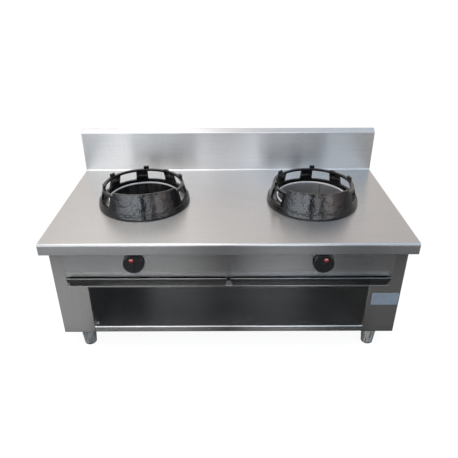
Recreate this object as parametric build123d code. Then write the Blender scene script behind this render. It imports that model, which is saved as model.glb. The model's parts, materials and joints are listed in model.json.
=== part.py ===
from build123d import *
from math import cos, sin, radians, hypot
import os

# Two-burner wok range on an open base cabinet, folded from stainless sheet.
# Millimetres. X runs left to right as the cook sees it, Y from front to back, Z up.
# The origin is on the floor, under the middle of the worktop's outline.

# ---- worktop and splashback
worktop_width = 1500.0
worktop_depth = 800.0
worktop_height = 554.0
top_sheet = 2.0
lip_height = 50.0
lip_hem = 15.0
front_edge_radius = 10.0
hem_radius = 3.5
splash_height = 203.0
splash_rise = 19.0
splash_depth = 30.0
cove_radius = 8.0
splash_edge_radius = 4.0
back_edge_radius = 3.0

# ---- cabinet
casing_sheet = 1.5
casing_bend = 3.0
body_overhang = 28.0
rear_overhang = 40.0
body_clearance_height = 90.0
leg_face_width = 136.0
panel_side_width = 54.0
panel_drop = 173.0
panel_flange = 45.0
panel_top_flange = 25.0
panel_side_gap = 0.3
deck_drop = 216.0
rail_height = 8.5
shelf_lip_height = 30.0
shelf_lip_bend = 5.0
shelf_hem = 15.0
rear_flange = 22.0
leg_base_thickness = 3.0
leg_return = 20.0
brace_width = 40.0
brace_height = 28.0
front_brace_y = -225.0
rear_brace_y = 225.0
back_edge_gap = 4.0
vent_length = 70.0
vent_width = 6.0
vent_pitch = 18.0
vents_per_group = 8
vent_drop = 90.0

# ---- burner wells
well_from_side = 367.0
well_from_front = 390.0
liner_radius = 155.0
liner_sheet = 1.5
liner_rise = 29.0
liner_depth = 100.0
liner_flange = 28.0
liner_bead_radius = 3.2
liner_seam_angle = 80.0
liner_seam_width = 1.6
liner_seam_depth = 0.6
well_hole_gap = 0.3

# ---- cast wok rings
ring_base_radius = 206.5
ring_band_radius = 202.0
ring_band_height = 27.0
ring_shoulder = 5.0
ring_top_radius = 180.0
ring_height = 91.0
ring_rim_width = 13.0
ring_rim_height = 10.0
ring_wall = 11.0
ring_base_wall = 17.0
ring_edge_round = 1.5
ring_posts = 8
post_angle = 17.5
window_sill = 33.0
window_corner = 5.0
shield_angle = 98.0
shield_height = 113.0
shield_fall = 7.5
shield_wall = 8.0
shield_proud = 1.0
lug_angles = (10.5, 82.5, 142.0, 186.0)
lug_width = 24.0
lug_height = 15.0
pad_angle = 49.0
pad_height = 4.0
ring_turn = {"left": 11.5, "right": 0.5}

# ---- burners
hanger_width = 40.0
hanger_thickness = 4.0
hanger_gap = 0.3
hanger_drop = 148.0
burner_foot_radius = 45.0
burner_foot_height = 6.0
burner_neck_radius = 24.0
burner_bowl_radius = 80.0
burner_bowl_height = 34.0
burner_wall = 7.0
burner_bowl_top = 75.0
mixing_tube_radius = 20.0
mixing_tube_wall = 4.0
mixing_tube_rise = 23.0
mixing_tube_length = 212.0
mouth_radius = 26.0
mouth_length = 10.0
cap_height = 15.0
cap_spigot = 6.0
cap_gap = 0.4
cap_ports = 24
cap_port_width = 3.0
cap_port_depth = 6.0
cap_centre_hole = 18.0
ear_reach = 102.0
ear_thickness = 6.0
ear_rise = 28.0
ear_front = 46.0
ear_back = 10.0

# ---- gas train
knob_drop = 99.0
knob_standoff = 6.5
knob_body_radius = 41.5
knob_skirt_width = 1.5
knob_skirt_thickness = 6.0
knob_taper = 1.5
knob_body_height = 9.5
grip_width = 9.0
grip_height = 4.5
grip_above_centre = 6.0
grip_inset = 4.0
knob_round = 1.2
marker_radius = 8.5
marker_depth = 2.0
marker_proud = 1.0
marker_offset = 6.0
marker_rise = 19.0
marker_gap = 0.05
push_travel = 4.0
spindle_radius = 5.0
running_gap = 0.05
spindle_in_knob = 15.0
spindle_in_tap = 27.0
panel_hole_radius = 7.0
plunger_radius = 4.0
plunger_length = 24.0
tap_width = 28.0
tap_height = 32.0
tap_length = 62.0
tap_neck_radius = 11.0
tap_neck_length = 8.5
tap_flange_width = 52.0
tap_flange_height = 22.0
tap_flange_thickness = 3.0
tap_screw_spacing = 40.0
tap_screw_radius = 2.0
screw_head_radius = 4.0
screw_head_height = 2.0
manifold_radius = 13.5
manifold_wall = 2.5
manifold_end = 48.0
manifold_from_panel = 32.0
manifold_drop = 142.0
manifold_stub_radius = 8.0
manifold_tee_radius = 11.0
manifold_tee_length = 20.0
bracket_width = 20.0
bracket_depth = 20.0
bracket_x = 250.0
inlet_radius = 13.22
inlet_wall = 2.5
inlet_stickout = 34.0
union_flats = 38.0
union_length = 22.0
locknut_flats = 36.0
locknut_length = 7.0
inlet_hole_gap = 1.0
injector_radius = 8.0
injector_length = 14.0
injector_tip_radius = 4.0
injector_tip_length = 12.0
injector_gap = 0.3
injector_standoff = 14.0
injector_plate = 4.0
injector_arm = 6.0
feed_radius = 5.0
feed_bend = 9.0
pilot_radius = 6.0
pilot_height = 34.0
pilot_hood_height = 10.0
pilot_inset = 10.0
pilot_pipe_radius = 2.0
thermocouple_radius = 3.0
thermocouple_height = 46.0
thermocouple_inset = 24.0
lead_radius = 1.5
lead_bend = 12.0
lead_drop = 22.0
ear_hole_gap = 0.3
tail_length = 4.0

# ---- drip trays
tray_sheet = 1.2
slide_gap = 0.3
tray_depth_front_to_back = 600.0
tray_wall_height = 34.0
tray_inner_edge = 14.0
tray_outer_gap = 8.0
tray_recess = 1.0
lip_plate = 1.5
lip_out = 25.0
lip_rise = 51.0
lip_taper = 8.0
lip_corner = 10.0
lip_centre_gap = 6.5
lip_end_gap = 5.0
lip_hem_height = 9.0
lip_hem_thickness = 3.0
guide_height = 20.0
guide_front_gap = 4.0
guide_gap = 1.0
guide_width = 10.0

# ---- feet
foot_inset = 92.0
foot_from_front = 42.0
foot_from_back = 60.0
foot_top_radius = 33.0
foot_bottom_radius = 25.5
foot_round = 5.0
foot_wall = 2.5
foot_floor = 5.0
foot_travel = 30.0
stem_radius = 6.0
stem_hole_gap = 0.3
nut_flats = 19.0
nut_height = 12.0

# ---- small fittings
label_width = 113.0
label_height = 61.0
label_thickness = 0.4
label_drop = 257.0
label_edge = 5.0
clip_width = 14.0
clip_height = 16.0
clip_sheet = 1.5
clip_from_front = 22.0
back_screw_inset = 11.0
back_screw_count = 5

# ---- levels and planes worked out from the sizes above
half_width = worktop_width / 2
front = -worktop_depth / 2
back = worktop_depth / 2
under_top = worktop_height - top_sheet
lip_bottom = worktop_height - lip_height
splash_face = back - splash_depth
splash_top = worktop_height + splash_height
body_half = half_width - body_overhang
body_front = front + body_overhang
body_back = back - rear_overhang
inner_front = body_front + casing_sheet
inner_back = body_back - casing_sheet
inner_side = body_half - casing_sheet
body_bottom = body_clearance_height
cavity_half = body_half - leg_face_width
panel_half = body_half - panel_side_width
panel_bottom = worktop_height - panel_drop
deck_top = worktop_height - deck_drop
deck_under = deck_top - casing_sheet
shelf_top = body_bottom + shelf_lip_height
well_y = front + well_from_front
well_offset = half_width - well_from_side
liner_outer = liner_radius + liner_sheet
hanger_top = worktop_height - hanger_drop
tube_z = hanger_top + mixing_tube_rise
bowl_top = worktop_height - burner_bowl_top
cap_top = bowl_top + cap_height
ear_top = hanger_top + ear_rise + ear_thickness
knob_z = worktop_height - knob_drop
knob_back = body_front - knob_standoff
knob_face = knob_back - knob_skirt_thickness - knob_body_height
grip_front = knob_face - grip_height
tap_front = inner_front + tap_neck_length
tap_rear = tap_front + tap_length
spindle_end = inner_front + spindle_in_tap
manifold_z = worktop_height - manifold_drop
manifold_y = body_front + manifold_from_panel
manifold_half_length = well_offset + manifold_end
mouth_y = well_y - mixing_tube_length
injector_y = mouth_y - injector_standoff
tray_floor = deck_top + slide_gap
tray_back = body_front + tray_recess + tray_depth_front_to_back
tray_outer = panel_half - tray_outer_gap
foot_x = body_half - foot_inset
foot_ys = {"front": body_front + foot_from_front, "rear": body_back - foot_from_back}
sides = {"left": -1, "right": 1}
yz_plane = Plane(origin=(0, 0, 0), x_dir=(0, 1, 0), z_dir=(1, 0, 0))


def block(x0, x1, y0, y1, z0, z1):
    centre = ((x0 + x1) / 2, (y0 + y1) / 2, (z0 + z1) / 2)
    return Pos(*centre) * Box(abs(x1 - x0), abs(y1 - y0), abs(z1 - z0))


def upright(x, y, z0, z1, radius):
    return Pos(x, y, (z0 + z1) / 2) * Cylinder(radius, z1 - z0)


def along_y(x, z, y0, y1, radius):
    return Pos(x, (y0 + y1) / 2, z) * Rot(90, 0, 0) * Cylinder(radius, y1 - y0)


def along_x(y, z, x0, x1, radius):
    return Pos((x0 + x1) / 2, y, z) * Rot(0, 90, 0) * Cylinder(radius, x1 - x0)


def hexagon_y(x, z, y0, y1, flats):
    plane = Plane(origin=(x, y0, z), x_dir=(1, 0, 0), z_dir=(0, 1, 0))
    return extrude(plane * RegularPolygon(flats / 2, 6, major_radius=False), amount=y1 - y0)


def folded_sheet(path, radii, thickness):
    # Face of a sheet that lies on the right-hand side of its outer face's path.
    # Each bend's radius is that of the outer face.
    normals = []
    for (x0, y0), (x1, y1) in zip(path, path[1:]):
        length = hypot(x1 - x0, y1 - y0)
        normals.append(((y1 - y0) / length, (x0 - x1) / length))
    inner = [(path[0][0] + thickness * normals[0][0], path[0][1] + thickness * normals[0][1])]
    inner_radii = []
    for (x, y), (ax, ay), (bx, by), radius in zip(path[1:-1], normals, normals[1:], radii):
        reach = thickness / (1 + ax * bx + ay * by)
        inner.append((x + reach * (ax + bx), y + reach * (ay + by)))
        turns_right = ax * by - ay * bx < 0
        inner_radii.append(radius - thickness if turns_right else radius + thickness)
    inner.append((path[-1][0] + thickness * normals[-1][0], path[-1][1] + thickness * normals[-1][1]))
    corners = list(path) + inner[::-1]
    rounds = [0.0] + list(radii) + [0.0, 0.0] + inner_radii[::-1] + [0.0]
    return make_face(FilletPolyline(*corners, radius=rounds, close=True))


def across(face, half_length):
    return extrude(yz_plane * face, amount=half_length, both=True)


def pipe(points, radius, bend):
    path = FilletPolyline(*points, radius=bend)
    start = Plane(origin=path @ 0, z_dir=path % 0)
    return sweep(start * Circle(radius), path=path)


def well_x(side):
    return sides[side] * well_offset


def handed(shape, side):
    # Shapes are drawn for the right-hand side.
    return shape if side == "right" else mirror(shape, about=Plane.YZ)


# ---- sheet metal

def worktop():
    path = [(front + lip_hem, lip_bottom), (front, lip_bottom), (front, worktop_height),
            (splash_face, worktop_height), (splash_face, splash_top),
            (back, splash_top + splash_rise), (back, lip_bottom), (back - lip_hem, lip_bottom)]
    radii = [hem_radius, front_edge_radius, cove_radius, splash_edge_radius, back_edge_radius, hem_radius]
    top = across(folded_sheet(path, radii, top_sheet), half_width)
    end = make_face(FilletPolyline(*path[1:-1], radius=radii, close=True))
    for sign in sides.values():
        start = Plane(origin=(sign * half_width, 0, 0), x_dir=(0, 1, 0), z_dir=(1, 0, 0))
        top += extrude(start * end, amount=-sign * top_sheet)
        inside = sign * (half_width - lip_hem)
        top += block(inside, sign * (half_width - top_sheet), front + lip_hem, back - lip_hem,
                     lip_bottom, lip_bottom + top_sheet)
    rim = [edge for edge in top.edges() if abs(abs(edge.center().X) - half_width) < 0.01
           and edge.center().Z > lip_bottom + hem_radius]
    top = fillet(rim, top_sheet * 0.6)
    for side in sides:
        top -= upright(well_x(side), well_y, lip_bottom, worktop_height + 1, liner_outer + well_hole_gap)
    return top


def side_panel():
    path = [(body_half - rear_flange, body_back), (body_half, body_back),
            (body_half, body_front), (cavity_half, body_front), (cavity_half, body_front + leg_return)]
    sheet = folded_sheet(path, [casing_bend, casing_bend, casing_bend], casing_sheet)
    panel = Pos(0, 0, body_bottom) * extrude(sheet, amount=under_top - body_bottom)
    notch = block(cavity_half - 1, panel_half, body_front - 1, body_front + leg_return + 1, deck_under, under_top + 1)
    return panel - notch


def cavity_wall():
    return block(cavity_half, cavity_half + casing_sheet, body_front + leg_return, body_back, body_bottom, deck_under)


def leg_base():
    plate = block(cavity_half + casing_sheet, inner_side, inner_front, inner_back,
                  body_bottom, body_bottom + leg_base_thickness)
    plate = fillet(plate.edges().filter_by(Axis.Z), casing_bend)
    for y in foot_ys.values():
        plate -= upright(foot_x, y, body_bottom - 1, body_bottom + leg_base_thickness + 1, stem_radius + stem_hole_gap)
    return plate


def bottom_shelf():
    path = [(body_front + shelf_hem, body_bottom), (body_front, body_bottom),
            (body_front, shelf_top), (body_back, shelf_top)]
    return across(folded_sheet(path, [casing_bend, shelf_lip_bend], casing_sheet), cavity_half)


def tray_deck():
    path = [(body_front, deck_top - rail_height), (body_front, deck_top), (inner_back, deck_top)]
    deck = across(folded_sheet(path, [casing_bend], casing_sheet), cavity_half)
    for sign in sides.values():
        wing = block(sign * cavity_half, sign * inner_side, inner_front, inner_back, deck_under, deck_top)
        outer = [edge for edge in wing.edges().filter_by(Axis.Z) if abs(edge.center().X) > panel_half]
        deck += fillet(outer, casing_bend)
        deck += block(sign * cavity_half, sign * (panel_half - panel_side_gap), body_front, inner_front,
                      deck_under, deck_top)
    return deck


def back_panel():
    panel = block(-body_half + back_edge_gap, body_half - back_edge_gap, body_back, body_back + casing_sheet,
                  body_bottom, under_top)
    first = -(vents_per_group - 1) / 2
    for side in sides:
        for index in range(vents_per_group):
            x = well_x(side) + (first + index) * vent_pitch
            slot = SlotOverall(vent_length, vent_width, rotation=90)
            spot = Plane(origin=(x, body_back, worktop_height - vent_drop), x_dir=(1, 0, 0), z_dir=(0, 1, 0))
            panel -= extrude(spot * slot, amount=casing_sheet, both=True)
    panel -= along_y(0, manifold_z, body_back - 1, body_back + casing_sheet + 1, inlet_radius + inlet_hole_gap)
    for x, z in back_screw_places():
        panel -= along_y(x, z, body_back - 1, body_back + casing_sheet + 1, tap_screw_radius + running_gap)
    return panel


def back_screw_places():
    low, high = body_bottom + rear_flange, under_top - rear_flange
    step = (high - low) / (back_screw_count - 1)
    heights = [low + step * index for index in range(back_screw_count)]
    return [(sign * (body_half - back_screw_inset), z) for sign in sides.values() for z in heights]


def back_panel_screws():
    heads = []
    for x, z in back_screw_places():
        face = body_back + casing_sheet
        heads.append(along_y(x, z, face, face + screw_head_height, screw_head_radius)
                     + along_y(x, z, body_back, face, tap_screw_radius))
    return Compound(children=heads)


def control_panel():
    path = [(body_front + panel_flange, panel_bottom), (body_front, panel_bottom),
            (body_front, under_top), (body_front + panel_top_flange, under_top)]
    panel = across(folded_sheet(path, [casing_bend, casing_bend], casing_sheet), panel_half - panel_side_gap)
    for side in sides:
        panel -= along_y(well_x(side), knob_z, body_front - 1, inner_front + 1, panel_hole_radius)
        for x in tap_screw_xs(side):
            panel -= along_y(x, knob_z, body_front - 1, inner_front + 1, tap_screw_radius + running_gap)
    return panel


def top_brace(middle):
    half = brace_width / 2
    lip = brace_width / 4
    path = [(middle - half, under_top), (middle - half + lip, under_top),
            (middle - half + lip, under_top - brace_height), (middle + half - lip, under_top - brace_height),
            (middle + half - lip, under_top), (middle + half, under_top)]
    plain = [(y, z) for y, z in path]
    hat = folded_sheet(plain, [casing_bend + casing_sheet, casing_bend, casing_bend, casing_bend + casing_sheet],
                       casing_sheet)
    return across(hat, inner_side)


# ---- burner wells and wok rings

def well_liner(side):
    x = well_x(side)
    top = worktop_height + liner_rise
    low = worktop_height - liner_depth
    liner = upright(x, well_y, low, top, liner_outer)
    liner += upright(x, well_y, under_top - top_sheet, under_top, liner_outer + liner_flange)
    liner += Pos(x, well_y, top - liner_bead_radius) * Torus(liner_radius + liner_bead_radius, liner_bead_radius)
    liner -= upright(x, well_y, low - 1, top + 1, liner_radius)
    seam = block(liner_radius - 2, liner_radius + liner_seam_depth, -liner_seam_width / 2, liner_seam_width / 2,
                 low - 1, top + 1)
    return liner - Pos(x, well_y, 0) * Rot(0, 0, liner_seam_angle) * seam


def ring_casting():
    band = ring_band_height
    shoulder = ring_band_radius - ring_shoulder
    rim_inner = ring_top_radius - ring_rim_width
    rim_base = ring_height - ring_rim_height
    slope = (shoulder - ring_top_radius) / (ring_height - band)
    wall_top = ring_top_radius + slope * ring_rim_height - ring_wall
    outline = [(ring_base_radius, 0), (ring_base_radius, band / 3), (ring_band_radius, band), (shoulder, band),
               (ring_top_radius, ring_height), (rim_inner, ring_height), (rim_inner, rim_base),
               (min(wall_top, rim_inner + ring_rim_height), rim_base), (shoulder - ring_wall, band),
               (ring_base_radius - ring_base_wall, 0)]
    profile = make_face(Polyline(*outline, close=True))
    edge = profile.vertices().group_by(Axis.Y)[-1]
    profile = fillet(edge, ring_edge_round)
    return revolve(Plane.XZ * profile, axis=Axis.Z)


def window_spans():
    # Start and end angle of every window, seen from the middle of the ring, with the shield at 270 degrees.
    pitch = 360.0 / ring_posts
    spans = []
    for index in range(ring_posts):
        start = 90.0 + pitch * index + post_angle / 2
        end = start + pitch - post_angle
        shield_start, shield_end = 270.0 - shield_angle / 2, 270.0 + shield_angle / 2
        low_part = (start, min(end, shield_start))
        high_part = (max(start, shield_end), end)
        for low, high in (low_part, high_part):
            if high - low > post_angle / 3 and (low, high) not in spans:
                spans.append((low, high))
    return spans


def window_cutter(low, high):
    inner, outer = ring_top_radius - 2 * ring_rim_width - 10, ring_base_radius + 20
    corners = [(radius * cos(radians(angle)), radius * sin(radians(angle)))
               for radius, angle in ((inner, low), (outer, low), (outer, high), (inner, high))]
    height = ring_height - ring_rim_height - window_sill
    cutter = Pos(0, 0, window_sill) * extrude(make_face(Polyline(*corners, close=True)), amount=height)
    flanks = []
    for edge in cutter.edges():
        middle = edge.center()
        from_axis = hypot(middle.X, middle.Y)
        if from_axis > inner * 1.02 and abs(edge.length - (outer - inner)) < 0.01:
            flanks.append(edge)
    return fillet(flanks, window_corner)


def ring_shield():
    # Solid front of the casting. It carries the casting's cone on above the rim, a little proud of it,
    # and its top edge is an arch that falls away to both ends.
    shoulder = ring_band_radius - ring_shoulder
    slope = (shoulder - ring_top_radius) / (ring_height - ring_band_height)
    low = shoulder + shield_proud
    top = low - slope * (shield_height - ring_band_height)
    outline = [(low, ring_band_height), (top, shield_height), (top - shield_wall, shield_height),
               (low - shield_wall, ring_band_height)]
    profile = make_face(Polyline(*outline, close=True))
    shield = revolve(Plane.XZ * profile, axis=Axis.Z, revolution_arc=shield_angle)
    shield = Rot(0, 0, 270.0 - shield_angle / 2) * shield
    half_span = top * sin(radians(shield_angle / 2))
    arch = (half_span ** 2 + shield_fall ** 2) / (2 * shield_fall)
    shield &= along_y(0, shield_height - arch, -2 * ring_base_radius, 0, arch)
    top_edges = [edge for edge in shield.edges() if edge.center().Z > shield_height - shield_fall]
    return fillet(top_edges, ring_edge_round)


def rim_lug(angle, height):
    lug = block(ring_top_radius - ring_rim_width + 1, ring_top_radius - 1, -lug_width / 2, lug_width / 2,
                ring_height - 1, ring_height + height)
    top_edges = lug.edges().group_by(Axis.Z)[-1]
    return Rot(0, 0, angle) * fillet(top_edges, ring_edge_round)


def wok_ring(side):
    ring = ring_casting()
    for low, high in window_spans():
        ring -= window_cutter(low, high)
    ring += ring_shield()
    for angle in lug_angles:
        ring += rim_lug(angle, lug_height)
    ring += rim_lug(pad_angle, pad_height)
    return Pos(well_x(side), well_y, worktop_height) * Rot(0, 0, ring_turn[side]) * ring


# ---- burners

def burner_hanger(side):
    x = well_x(side)
    arm = liner_outer + hanger_gap
    half = hanger_width / 2
    strap = block(x - arm - hanger_thickness, x + arm + hanger_thickness, well_y - half, well_y + half,
                  hanger_top - hanger_thickness, hanger_top)
    for sign in sides.values():
        strap += block(x + sign * arm, x + sign * (arm + hanger_thickness), well_y - half, well_y + half,
                       hanger_top - hanger_thickness, under_top - top_sheet)
    return strap


def burner(side):
    x = well_x(side)
    bowl_floor = bowl_top - burner_bowl_height
    bore = mixing_tube_radius - mixing_tube_wall
    body = upright(x, well_y, hanger_top, hanger_top + burner_foot_height, burner_foot_radius)
    body += upright(x, well_y, hanger_top, bowl_floor + burner_wall, burner_neck_radius)
    body += upright(x, well_y, bowl_floor, bowl_top, burner_bowl_radius)
    body += along_y(x, tube_z, mouth_y, well_y, mixing_tube_radius)
    body += along_y(x, tube_z, mouth_y, mouth_y + mouth_length, mouth_radius)
    body += block(x, x + ear_reach, well_y - ear_front, well_y - ear_back, ear_top - ear_thickness, ear_top)
    for sign in sides.values():
        body += block(x + sign * (mouth_radius - injector_arm), x + sign * mouth_radius,
                      injector_y - injector_plate, mouth_y + mouth_length, tube_z - injector_arm, tube_z + injector_arm)
    body += block(x - mouth_radius, x + mouth_radius, injector_y - injector_plate, injector_y,
                  tube_z - injector_radius - injector_arm, tube_z + injector_radius + injector_arm)
    body -= upright(x, well_y, bowl_floor + burner_wall, bowl_top + 1, burner_bowl_radius - burner_wall)
    body -= upright(x, well_y, tube_z, bowl_top, bore)
    body -= along_y(x, tube_z, mouth_y - 1, well_y, bore)
    body -= along_y(x, tube_z, injector_y - injector_plate - 1, injector_y + 1, injector_radius + injector_gap)
    body -= upright(*pilot_place(x), ear_top - ear_thickness - 1, ear_top + 1, pilot_pipe_radius + ear_hole_gap)
    body -= upright(*thermocouple_place(x), ear_top - ear_thickness - 1, ear_top + 1,
                    thermocouple_radius + ear_hole_gap)
    return body


def burner_cap(side):
    x = well_x(side)
    cap = upright(x, well_y, bowl_top, cap_top, burner_bowl_radius)
    spigot = burner_bowl_radius - burner_wall - cap_gap
    cap += upright(x, well_y, bowl_top - cap_spigot, bowl_top, spigot)
    cap -= upright(x, well_y, bowl_top - cap_spigot - 1, bowl_top, spigot - burner_wall)
    cap -= upright(x, well_y, bowl_top - 1, cap_top + 1, cap_centre_hole)
    crown = [edge for edge in cap.edges() if abs(edge.center().Z - cap_top) < 0.01 and edge.radius > cap_centre_hole + 1]
    cap = fillet(crown, cap_port_width)
    for index in range(cap_ports):
        port = block(burner_bowl_radius * 0.55, burner_bowl_radius * 0.85, -cap_port_width / 2, cap_port_width / 2,
                     cap_top - cap_port_depth, cap_top + 1)
        cap -= Pos(x, well_y, 0) * Rot(0, 0, 360.0 / cap_ports * index) * port
    return cap


def pilot_place(x):
    return x + ear_reach - pilot_inset, well_y - (ear_front + ear_back) / 2 + pilot_radius


def thermocouple_place(x):
    return x + ear_reach - thermocouple_inset, well_y - ear_front + 2 * thermocouple_radius + pilot_pipe_radius


def pilot(side):
    x, y = pilot_place(well_x(side))
    top = ear_top + pilot_height
    body = upright(x, y, ear_top, top, pilot_radius)
    body += upright(x, y, ear_top - ear_thickness - tail_length, ear_top, pilot_pipe_radius)
    hood = upright(x, y, top - 1, top + pilot_hood_height, pilot_radius)
    hood -= block(x - 2 * pilot_radius, x, y - pilot_radius, y + pilot_radius, top + 1, top + pilot_hood_height - 2)
    return body + hood


def pilot_pipe(side):
    centre = well_x(side)
    x, y = pilot_place(centre)
    start = ear_top - ear_thickness - tail_length
    level = start - lead_drop
    turn_y = tap_rear - tap_neck_length
    points = [(x, y, start), (x, y, level), (x, turn_y, level),
              (centre + tap_width, turn_y, knob_z), (centre + tap_width / 2, turn_y, knob_z)]
    return pipe(points, pilot_pipe_radius, lead_bend / 2)


def thermocouple(side):
    centre = well_x(side)
    x, y = thermocouple_place(centre)
    start = ear_top - ear_thickness - tail_length
    level = start - lead_drop
    turn_y = tap_rear - 2 * tap_neck_length - lead_radius
    tip = ear_top - ear_thickness + thermocouple_height
    points = [(x, y, start), (x, y, level), (x, turn_y, level),
              (centre + tap_width, turn_y, knob_z), (centre + tap_width / 2, turn_y, knob_z)]
    return upright(x, y, start, tip, thermocouple_radius) + pipe(points, lead_radius, lead_bend / 2)


# ---- gas train

def tap_screw_xs(side):
    return [well_x(side) + sign * tap_screw_spacing / 2 for sign in sides.values()]


def gas_tap(side):
    x = well_x(side)
    body = block(x - tap_width / 2, x + tap_width / 2, tap_front, tap_rear,
                 knob_z - tap_height / 2, knob_z + tap_height / 2)
    body = fillet(body.edges().filter_by(Axis.Y), tap_height / 8)
    body += along_y(x, knob_z, inner_front, tap_front + 1, tap_neck_radius)
    body += block(x - tap_flange_width / 2, x + tap_flange_width / 2, inner_front,
                  inner_front + tap_flange_thickness, knob_z - tap_flange_height / 2, knob_z + tap_flange_height / 2)
    body -= along_y(x, knob_z, inner_front - 1, spindle_end + push_travel + 1, spindle_radius + running_gap)
    body -= along_y(x, knob_z, spindle_end, spindle_end + plunger_length + push_travel + 1,
                    plunger_radius + running_gap)
    for screw_x in tap_screw_xs(side):
        body -= along_y(screw_x, knob_z, inner_front - 1, inner_front + tap_flange_thickness + 1,
                        tap_screw_radius + running_gap)
    return body


def tap_screws():
    screws = []
    for side in sides:
        for x in tap_screw_xs(side):
            screws.append(along_y(x, knob_z, body_front - screw_head_height, body_front, screw_head_radius)
                          + along_y(x, knob_z, body_front, inner_front + tap_flange_thickness, tap_screw_radius))
    return Compound(children=screws)


def tap_spindle(side):
    return along_y(well_x(side), knob_z, knob_back - spindle_in_knob, spindle_end, spindle_radius)


def tap_plunger(side):
    return along_y(well_x(side), knob_z, spindle_end, spindle_end + plunger_length, plunger_radius)


def knob(side):
    x = well_x(side)
    skirt = knob_back - knob_skirt_thickness
    skirt_radius = knob_body_radius + knob_skirt_width
    face_radius = knob_body_radius - knob_taper
    outline = [(0, knob_back), (skirt_radius, knob_back), (skirt_radius, skirt), (knob_body_radius, skirt),
               (face_radius, knob_face), (0, knob_face)]
    profile = make_face(Polyline(*outline, close=True))
    body = Pos(x, 0, knob_z) * revolve(profile, axis=Axis.Y)
    rims = [edge for edge in body.edges().filter_by(GeomType.CIRCLE)
            if min(abs(edge.center().Y - skirt), abs(edge.center().Y - knob_face)) < 0.01
            and abs(edge.radius - knob_body_radius) > 0.01]
    body = fillet(rims, knob_round)
    grip = block(x - grip_width / 2, x + grip_width / 2, grip_front, knob_back - knob_skirt_thickness,
                 knob_z - face_radius + grip_inset, knob_z + grip_above_centre)
    grip = fillet(grip.edges().group_by(Axis.Y)[0], knob_round)
    body += grip
    body -= along_y(x, knob_z, knob_back - spindle_in_knob, knob_back + 1, spindle_radius + running_gap)
    mark_x, mark_z = marker_place(side)
    return body - along_y(mark_x, mark_z, knob_face - 1, knob_face + marker_depth, marker_radius + marker_gap)


def marker_place(side):
    return well_x(side) + sides[side] * marker_offset, knob_z + marker_rise


def knob_marker(side):
    x, z = marker_place(side)
    face = knob_face - marker_proud
    insert = along_y(x, z, face, knob_face + marker_depth, marker_radius)
    return fillet(insert.edges().group_by(Axis.Y)[0], marker_proud * 0.8)


def gas_manifold():
    pipe_body = along_x(manifold_y, manifold_z, -manifold_half_length, manifold_half_length, manifold_radius)
    bore = manifold_radius - manifold_wall
    tee_end = manifold_y + manifold_radius + manifold_tee_length
    pipe_body += along_y(0, manifold_z, manifold_y, tee_end, manifold_tee_radius)
    stub_top = knob_z - tap_height / 2
    for side in sides:
        pipe_body += upright(well_x(side), manifold_y, manifold_z, stub_top, manifold_stub_radius)
    pipe_body -= along_x(manifold_y, manifold_z, manifold_wall - manifold_half_length,
                         manifold_half_length - manifold_wall, bore)
    pipe_body -= along_y(0, manifold_z, manifold_y, tee_end + 1, manifold_tee_radius - manifold_wall)
    for side in sides:
        pipe_body -= upright(well_x(side), manifold_y, manifold_z, stub_top + 1, manifold_stub_radius - manifold_wall)
    return pipe_body


def manifold_brackets():
    seat = panel_bottom + casing_sheet
    brackets = []
    for sign in sides.values():
        x = sign * bracket_x
        stand = block(x - bracket_width / 2, x + bracket_width / 2, manifold_y - bracket_depth / 2,
                      manifold_y + bracket_depth / 2 - running_gap, seat, manifold_z)
        stand -= along_x(manifold_y, manifold_z, x - bracket_width, x + bracket_width, manifold_radius + slide_gap)
        reach = body_front + panel_flange
        stand -= block(x - bracket_width, x + bracket_width, reach, reach + bracket_depth, seat - 1, seat + 1)
        brackets.append(stand)
    return Compound(children=brackets)


def gas_inlet_pipe():
    start = manifold_y + manifold_radius + manifold_tee_length
    end = body_back + casing_sheet + inlet_stickout
    line = along_y(0, manifold_z, start, end, inlet_radius)
    line += hexagon_y(0, manifold_z, start, start + union_length, union_flats)
    face = body_back + casing_sheet
    line += hexagon_y(0, manifold_z, face, face + locknut_length, locknut_flats)
    return line - along_y(0, manifold_z, start - 1, end + 1, inlet_radius - inlet_wall)


def injector(side):
    x = well_x(side)
    rear = injector_y - injector_length
    body = along_y(x, tube_z, rear, injector_y, injector_radius)
    body += along_y(x, tube_z, injector_y - 1, injector_y + injector_tip_length, injector_tip_radius)
    return body


def feed_pipe(side):
    x = well_x(side)
    end = injector_y - injector_length
    step = (end - tap_rear) / 3
    points = [(x, tap_rear, knob_z), (x, tap_rear + step, knob_z), (x, end - step, tube_z), (x, end, tube_z)]
    return pipe(points, feed_radius, feed_bend)


# ---- drip trays

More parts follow.
